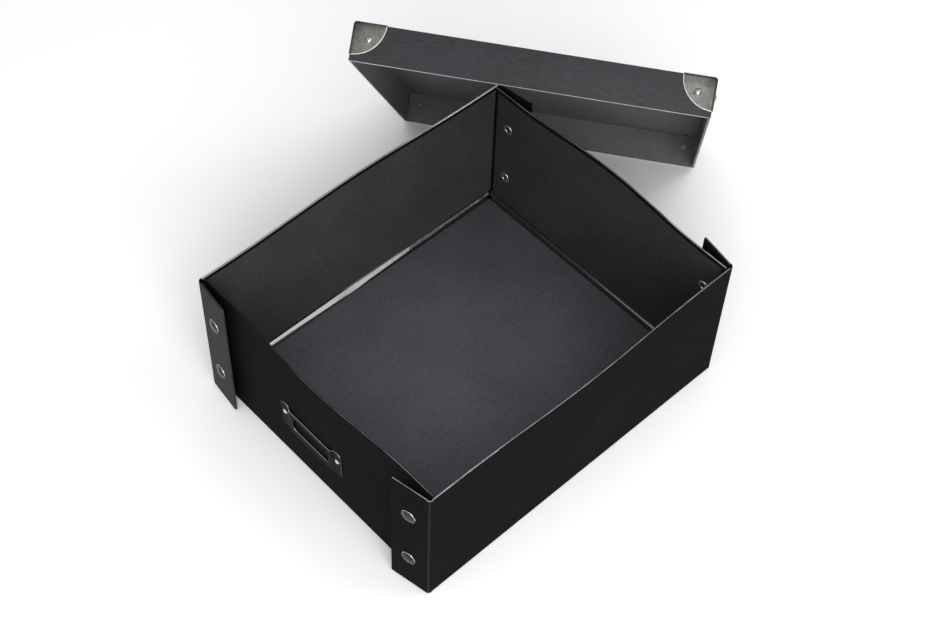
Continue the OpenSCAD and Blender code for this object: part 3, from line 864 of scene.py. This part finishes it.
warm_nickel = hazy_metal(
    "warm_nickel", 2.5 * MM, dark=(0.72, 0.63, 0.5, 1), light=(0.94, 0.86, 0.73, 1),
    roughness=0.3, haze_roughness=0.16,
)
bronzed = Finish("bronzed_nickel")
bronzed_place = bronzed.place()
bronzed_haze = bronzed.noise(bronzed_place, [4.5 * MM] * 3, detail=3.0)
bronzed_grit = bronzed.noise(bronzed_place, [0.5 * MM] * 3, detail=2.0)
bronzed_tone = 0.75 * bronzed_haze + 0.25 * bronzed_grit
bronzed.set(Base_Color=bronzed.mix(bronzed_tone, (0.033, 0.028, 0.0235, 1), (0.072, 0.061, 0.051, 1)))
bronzed.set(Metallic=1.0, Roughness=0.2 + 0.14 * bronzed_haze)
bronzed.bump(bronzed_grit, strength=0.03, depth=0.05 * MM)
shaded = Finish("shaded_bronze")
shaded_haze = shaded.noise(shaded.place(), [2 * MM] * 3, detail=3.0)
shaded.set(Base_Color=shaded.mix(shaded_haze, (0.02, 0.017, 0.014, 1), (0.05, 0.043, 0.036, 1)))
shaded.set(Metallic=1.0, Roughness=0.35, Specular_Tint=(0.5, 0.5, 0.5, 1))


def refinish(node, finish):
    """Gives a CAD piece a finish of its own, and leaves its shape."""
    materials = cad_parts[node].data.materials
    materials.clear()
    materials.append(finish.material)


def copy_of(master, name, matrix):
    """A copy of a piece with a mesh of its own, put in place."""
    twin = bpy.data.objects.new(name, master.data.copy())
    bpy.context.scene.collection.objects.link(twin)
    twin.data.transform(matrix)
    return twin


def facing_y(out):
    """Turns a piece about z to face along y, or against it."""
    return Matrix.Rotation(-out * math.pi / 2, 4, "X")


def on_highlight_rim(face):
    """Whether a face lies on the upper half of the cap's rounded rim, which takes polished nickel as a
    painted highlight.
    """
    return face.normal.y > cap_highlight_side and cap_rim_foot < face.normal.z < cap_rim_crown


cap = begin(
    bpy.ops.mesh.primitive_cylinder_add, "snap_cap", vertices=cap_sides, radius=cap_radius,
    depth=cap_flange, location=(0, 0, cap_flange / 2),
)
# All of the cap starts in dark bronze, which stays on its sides and lower rim as painted shade.
dress(cap, shaded, bronzed, nickel)
round_off(
    cap, lambda edge: min(point.z for point in ends(edge)) > cap_flange / 2, cap_edge_round, cap_edge_steps,
)
paint(cap, on_highlight_rim, nickel)
paint(cap, lambda face: face.normal.z > cap_rim_crown, bronzed)
pick(cap, "FACE", lambda face: face.normal.z > square_on)
face_radius = cap_radius - cap_edge_round
dome_radius = (face_radius ** 2 + cap_dome ** 2) / (2 * cap_dome)
ring_height = 0
for ring in range(1, cap_rings + 1):
    bpy.ops.mesh.inset(thickness=face_radius * dome_share / cap_rings)
    ring_radius = face_radius * (1 - dome_share * ring / cap_rings)
    lifted = math.sqrt(dome_radius ** 2 - ring_radius ** 2) - dome_radius + cap_dome
    bpy.ops.transform.translate(value=(0, 0, lifted - ring_height))
    ring_height = lifted
close_up(cap, cap_smooth)
for corner, (way, out, opened) in corners.items():
    for level_name, height in stud_heights.items():
        on_face = Matrix.Translation((way * cap_along, out * corner_radius, height))
        # Turns each cap so that its painted highlight lies on the upper side of its rim.
        highlight_up = Matrix.Rotation((out + 1) / 2 * math.pi, 4, "Z")
        cap_place = on_corner(way, out, opened) @ on_face @ facing_y(out) @ highlight_up
        twin = copy_of(cap, f"{corner}_{level_name}_cap", cap_place)
        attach(twin, f"{corner}_flap")
        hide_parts(f"{corner}_snap_caps")
    refinish(f"{corner}_snap_sockets", nickel)
bpy.data.objects.remove(cap)

eyelet = begin(
    bpy.ops.mesh.primitive_cylinder_add, "snap_eyelet", vertices=eyelet_sides, radius=eyelet_radius,
    depth=eyelet_seat, location=(0, 0, eyelet_seat / 2),
)
dress(eyelet, warm_nickel, bronzed, wall_paper)
pick(eyelet, "FACE", lambda face: face.normal.z > square_on)
roll = (eyelet_radius - eyelet_cup) / 2
roll_rise = eyelet_rim - eyelet_seat
for step in range(1, roll_steps + 1):
    before = math.pi * (step - 1) / roll_steps
    after = math.pi * step / roll_steps
    bpy.ops.mesh.inset(thickness=roll * (math.cos(before) - math.cos(after)))
    bpy.ops.transform.translate(value=(0, 0, roll_rise * (math.sin(after) - math.sin(before))))
bpy.ops.mesh.inset(thickness=eyelet_lip)
assign(eyelet, bronzed)
bpy.ops.transform.translate(value=(0, 0, eyelet_lip))
bpy.ops.mesh.inset(thickness=eyelet_cup - eyelet_lip - eyelet_hole)
bpy.ops.mesh.extrude_region_move(TRANSFORM_OT_translate={"value": (0, 0, -eyelet_deep)})
assign(eyelet, wall_paper)
close_up(eyelet, eyelet_smooth)
for end, out in (("front", -1), ("back", 1)):
    for level_name, height in stud_heights.items():
        for hand, x in (("left", stud_inset - half_x), ("right", half_x - stud_inset)):
            on_inside = Matrix.Translation((x, out * (half_y - board), height))
            twin = copy_of(eyelet, f"{end}_{hand}_{level_name}_eyelet", on_inside @ facing_y(-out))
            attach(twin, f"{end}_wall")
            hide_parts(f"{end}_snap_eyelets")
    refinish(f"{end}_snap_studs", nickel)
bpy.data.objects.remove(eyelet)

# Label holder
# A frame stamped from thin steel with a dark gunmetal finish, raised in the middle so that a card
# slides in behind it, and riveted through the front wall by its two ears.

holder_apart = 0.005 * MM
holder_round = 0.12 * MM
holder_sharp = 40
metal_round_steps = 3
level_angle = 0.5
gunmetal = Finish("gunmetal")
gunmetal_place = gunmetal.place()
gunmetal_haze = gunmetal.noise(gunmetal_place, [9 * MM] * 3, detail=3.0)
gunmetal_grit = gunmetal.noise(gunmetal_place, [0.4 * MM] * 3, detail=3.0)
gunmetal_tone = gunmetal.between(0.6 * gunmetal_haze + 0.4 * gunmetal_grit, 0.35, 0.65)
gunmetal_colour = gunmetal.mix(gunmetal_tone, (0.011, 0.0105, 0.0112, 1), (0.024, 0.0229, 0.0244, 1))
gunmetal.set(Base_Color=gunmetal_colour, Metallic=1.0, Roughness=0.3 + 0.14 * gunmetal_haze)
gunmetal.set(Specular_Tint=(0.53, 0.51, 0.535, 1))
gunmetal.bump(gunmetal_grit, strength=0.06, depth=0.1 * MM)
# Bare metal on the rounded edges, and the same pale metal as a painted highlight on the upward faces.
bare_edge_and_highlight = hazy_metal(
    "bare_metal_edge_and_highlight", 0.5 * MM, dark=(0.36, 0.36, 0.34, 1), light=(0.6, 0.6, 0.57, 1),
    roughness=0.42, haze_roughness=0.12,
)


def take_up(piece):
    """Selects one piece alone and makes it the active one."""
    bpy.ops.object.select_all(action="DESELECT")
    piece.select_set(True)
    bpy.context.view_layer.objects.active = piece


def merge(piece, apart):
    """Merges points that lie closer than a length, and faces that lie in one plane."""
    take_up(piece)
    bpy.ops.object.mode_set(mode="EDIT")
    bpy.ops.mesh.select_all(action="SELECT")
    bpy.ops.mesh.remove_doubles(threshold=apart)
    bpy.ops.mesh.dissolve_limited(angle_limit=math.radians(level_angle))
    bpy.ops.object.mode_set(mode="OBJECT")


def soften(piece, metal, edge_metal, radius, sharp):
    """Rounds the edges of a sheet of metal that are sharper than an angle, in a finish of their own."""
    piece.data.materials.clear()
    dress(piece, metal, edge_metal)
    soft = piece.modifiers.new("rounding", "BEVEL")
    soft.width = radius
    soft.segments = metal_round_steps
    soft.limit_method = "ANGLE"
    soft.angle_limit = math.radians(sharp)
    soft.material = number_of(piece, edge_metal)
    bpy.ops.object.modifier_apply(modifier=soft.name)


holder = bpy.data.objects.new("label_holder_stamped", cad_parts["label_holder"].data.copy())
bpy.context.scene.collection.objects.link(holder)
take_up(holder)
bpy.ops.mesh.customdata_custom_splitnormals_clear()
merge(holder, holder_apart)
soften(holder, gunmetal, bare_edge_and_highlight, holder_round, holder_sharp)
bpy.ops.object.mode_set(mode="EDIT")
# The upward faces take the pale metal as a painted highlight.
paint(holder, lambda face: face.normal.z > upward, bare_edge_and_highlight)
bpy.ops.object.mode_set(mode="OBJECT")
bpy.ops.object.shade_smooth_by_angle(angle=math.radians(holder_sharp))
level_faces = holder.modifiers.new("level faces", "WEIGHTED_NORMAL")
level_faces.keep_sharp = True
bpy.ops.object.modifier_apply(modifier=level_faces.name)
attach(holder, "front_wall")
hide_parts("label_holder")
refinish("label_holder_rivets", nickel)

# Lid
# A tray of board wrapped in one sheet of paper, so that its rims run on from its top without a
# seam. It leans on the box's back left corner, and a thin sheet of paper lines it.

lid_width = 260 * MM
lid_length = 312 * MM
lid_depth = 28.5 * MM
lining = 0.4 * MM
lean_tilt = math.radians(36)
lean_turn = math.radians(36)
lean_shift = 36.5 * MM
lean_gap = 0.3 * MM
lid_angles = (math.pi / 2 - lean_tilt, 0, math.pi + lean_turn)
beside = Vector((math.cos(lean_turn), math.sin(lean_turn), 0))
behind = Vector((-math.sin(lean_turn), math.cos(lean_turn), 0))
touch = Vector((-axis_x, long_half, 0)) + corner_radius * behind
lean_height = lid_length / 2 * math.cos(lean_tilt) + lid_depth * math.sin(lean_tilt)
lean_back = (box_height - lean_height) * math.sin(lean_tilt) + board + lining + lean_gap
lid_centre = touch + lean_shift * beside + lean_back / math.cos(lean_tilt) * behind
lid_centre.z = lean_height
lid_turn = Matrix.Rotation(lid_angles[2], 4, "Z") @ Matrix.Rotation(lid_angles[0], 4, "X")
on_lid = Matrix.Translation(lid_centre) @ lid_turn

LID_FIBRES = (7, 1, 1)
COARSE = (12, 12, 12)
lid_paper = covering_paper(
    "lid_paper", dark=(0.022, 0.0215, 0.0245, 1), light=(0.04, 0.039, 0.043, 1),
    way=LID_FIBRES, roughness=0.5, gloss=0.12, turn=lid_angles,
)
lining_paper = covering_paper(
    "lining_paper", dark=(0.125, 0.12, 0.126, 1), light=(0.18, 0.173, 0.181, 1),
    way=ALONG_X, roughness=0.5, gloss=0.02, turn=lid_angles,
)
# The open rim's edge is paler paper, partly rubbed and partly a painted highlight; on the long sides the
# same paper is painted dimmer, as painted shade.
lid_edge_rub_and_highlight = covering_paper(
    "lid_paper_edge", dark=(0.28, 0.277, 0.28, 1), light=(0.55, 0.545, 0.55, 1),
    way=COARSE, roughness=0.42, gloss=0.2, turn=lid_angles,
)
lid_side_rub_and_dim_highlight = covering_paper(
    "lid_paper_side", dark=(0.1, 0.099, 0.1, 1), light=(0.22, 0.218, 0.22, 1),
    way=COARSE, roughness=0.42, gloss=0.2, turn=lid_angles,
)

tray_rim_round = 0.6 * MM
tray_fold_round = 0.9 * MM
tray_round_steps = 3
rim_run = 9 * MM
edge_band = 2 * MM
side_band = 3 * MM
inner_band = 1 * MM
downward = -0.6
tray = begin(
    bpy.ops.mesh.primitive_cube_add, "lid_tray_wrapped", size=1, location=(0, 0, -lid_depth / 2),
    scale=(lid_width, lid_length, lid_depth),
)
dress(tray, lid_paper, lid_edge_rub_and_highlight, lining_paper, lid_side_rub_and_dim_highlight)
pick(tray, "FACE", lambda face: face.normal.z < -square_on)
bpy.ops.mesh.delete(type="FACE")
thicken(tray, board, even=True)
bpy.ops.object.mode_set(mode="EDIT")


def on_tray_rim(edge):
    """Whether an edge runs along the open rim of the tray."""
    return max(point.z for point in ends(edge)) < near - lid_depth and run(edge).length > rim_run


def folded(edge):
    """Whether an edge is one over which the paper is folded, round the top or down a corner."""
    point = middle(edge)
    over_top = point.z > -near
    at_corner = abs(point.x) > lid_width / 2 - near and abs(point.y) > lid_length / 2 - near
    return over_top or at_corner


def on_rim_edge(face):
    """Whether a face lies on the edge of the board along the open rim."""
    return face.normal.z < downward and face.calc_center_median().z < edge_band - lid_depth


def on_side_edge(face):
    """Whether a face lies on that edge along the two long sides."""
    return on_rim_edge(face) and abs(face.calc_center_median().x) > lid_width / 2 - side_band


def inside(face):
    """Whether a face lies on the inner side of a rim."""
    spot = face.calc_center_median()
    inwards = face.normal.x * spot.x + face.normal.y * spot.y < 0
    return inwards and spot.z > inner_band - lid_depth


round_off(tray, on_tray_rim, tray_rim_round, tray_round_steps)
round_off(tray, folded, tray_fold_round, tray_round_steps)
# The painted highlight on the edge of the open rim, dimmer on the long sides.
paint(tray, on_rim_edge, lid_edge_rub_and_highlight)
paint(tray, on_side_edge, lid_side_rub_and_dim_highlight)
paint(tray, inside, lining_paper)
close_up(tray)
settle(tray, on_lid)
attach(tray, "lid")
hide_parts("lid_top_board", "lid_front_rim", "lid_back_rim", "lid_left_rim", "lid_right_rim")
refinish("lid_lining", lining_paper)

# Metal corners
# Antique nickel plate folded over each corner of the lid, with a quarter disc on each of the three
# faces. The cut edge is rounded in a bright rolled finish, partly a painted highlight, with a painted
# highlight along the arc, and the plate is mottled, with painted shade darkening it near its folds.

corner_reach = 24 * MM
corner_thick = 0.8 * MM
corner_round = 2.5 * MM
corner_round_steps = 8
arc_inner = corner_reach - 0.9 * MM
arc_outer = corner_reach - 0.5 * MM
fold_shade = 11 * MM
antique = Finish("antique_nickel")
antique_place = antique.place(lid_angles, lid_centre)
antique_blot = antique.noise(antique_place, [4 * MM] * 3, detail=3.0)
antique_grain = antique.noise(antique_place, [0.7 * MM] * 3, detail=3.0)
antique_axes = antique.node("ShaderNodeSeparateXYZ", {}, {0: antique_place})
# Painted shade: the plate is painted darker within fold_shade of each fold.
from_folds = 0
from_corner = 0
for axis, half_side in (("X", lid_width / 2), ("Y", lid_length / 2), ("Z", 0)):
    size_node = antique.node("ShaderNodeMath", {"operation": "ABSOLUTE"}, {0: antique_axes.outputs[axis]})
    from_fold = Tone(antique, size_node.outputs[0])
    if half_side:
        from_fold = half_side - from_fold
    from_folds = from_folds + 0.5 * antique.between(from_fold, 0, fold_shade)
    from_corner = from_corner + from_fold * from_fold
antique_mottle = antique.between(0.35 * antique_blot + 0.65 * antique_grain, 0.38, 0.62)
mottle_and_fold_shade = from_folds * (0.4 + 0.6 * antique_mottle)
# Painted highlight: a pale band just inside the arc of the cut edge.
arc_painted_highlight = antique.between(from_corner, arc_inner ** 2, arc_outer ** 2)
antique_plate = antique.mix(mottle_and_fold_shade, (0.038, 0.036, 0.033, 1), (0.2, 0.195, 0.18, 1))
antique.set(Base_Color=antique.mix(arc_painted_highlight, antique_plate, (0.42, 0.41, 0.38, 1)))
antique.set(Metallic=1.0, Roughness=0.5 - 0.18 * mottle_and_fold_shade)
antique.bump(antique_grain, strength=0.06, depth=0.1 * MM)
# The rounded edges take a bright nickel, partly a rolled edge and partly a painted highlight.
rolled_edge_and_highlight = hazy_metal(
    "rolled_nickel_edge_and_highlight", 0.8 * MM, dark=(0.5, 0.485, 0.45, 1), light=(0.8, 0.78, 0.73, 1),
    roughness=0.34, haze_roughness=0.12,
)

# The plate is modelled on a corner at the origin, with the lid towards x and y and below
ball_sides = 96
cut_share = 0.97
plate_apart = 0.12 * MM
plate_edge_round = 0.3 * MM
plate_sharp = 50
plate_smooth = 40
plate_angle = -0.75 * math.pi
tip_slack = 0.01 * MM
corner_block = 2 * corner_reach
tip = Vector((-corner_thick, -corner_thick, corner_thick))
plate = begin(
    bpy.ops.mesh.primitive_cube_add, "lid_plate", size=corner_block,
    location=tip + Vector((corner_block, corner_block, -corner_block)) / 2,
)
round_off(
    plate, lambda edge: min((point - tip).length for point in ends(edge)) < tip_slack,
    corner_round, corner_round_steps,
)
close_up(plate)
ball = begin(
    bpy.ops.mesh.primitive_uv_sphere_add, "corner_ball", segments=ball_sides, ring_count=ball_sides // 2,
    radius=corner_reach,
)
close_up(ball)
take_up(plate)
cut = plate.modifiers.new("cut", "BOOLEAN")
cut.operation = "INTERSECT"
cut.object = ball
bpy.ops.object.modifier_apply(modifier=cut.name)
bpy.data.objects.remove(ball)
bpy.ops.object.mode_set(mode="EDIT")
pick(plate, "FACE", lambda face: face.calc_center_median().length > cut_share * corner_reach)
bpy.ops.mesh.delete(type="FACE")
bpy.ops.object.mode_set(mode="OBJECT")
merge(plate, plate_apart)
thicken(plate, corner_thick, even=True)
soften(plate, antique, rolled_edge_and_highlight, plate_edge_round, plate_sharp)
bpy.ops.object.mode_set(mode="EDIT")
close_up(plate, plate_smooth)
bpy.ops.object.mode_set(mode="EDIT")
pick(plate, "FACE", lambda face: face.calc_area() > broad_area)
bpy.ops.mesh.faces_shade_flat()
bpy.ops.object.mode_set(mode="OBJECT")
for corner in corners:
    low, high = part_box(f"lid_{corner}_corner")
    spot = on_lid.inverted() @ ((Vector(low) + Vector(high)) / 2)
    tip_x = math.copysign(lid_width / 2, spot.x)
    tip_y = math.copysign(lid_length / 2, spot.y)
    facing = math.atan2(math.copysign(1, spot.y), math.copysign(1, spot.x)) - plate_angle
    on_tip = Matrix.Translation((tip_x, tip_y, 0)) @ Matrix.Rotation(facing, 4, "Z")
    twin = copy_of(plate, f"lid_{corner}_plate", on_lid @ on_tip)
    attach(twin, "lid")
    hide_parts(f"lid_{corner}_corner")
bpy.data.objects.remove(plate)

# Lid rivets
# Three domed nickel rivets hold each metal corner through the board, and their ends are rolled over
# inside the lid.

rivet_metal = hazy_metal(
    "dulled_nickel", 1.5 * MM, dark=(0.2, 0.194, 0.18, 1), light=(0.4, 0.39, 0.365, 1),
    roughness=0.16, haze_roughness=0.1,
)
refinish("lid_corner_rivets", rivet_metal)
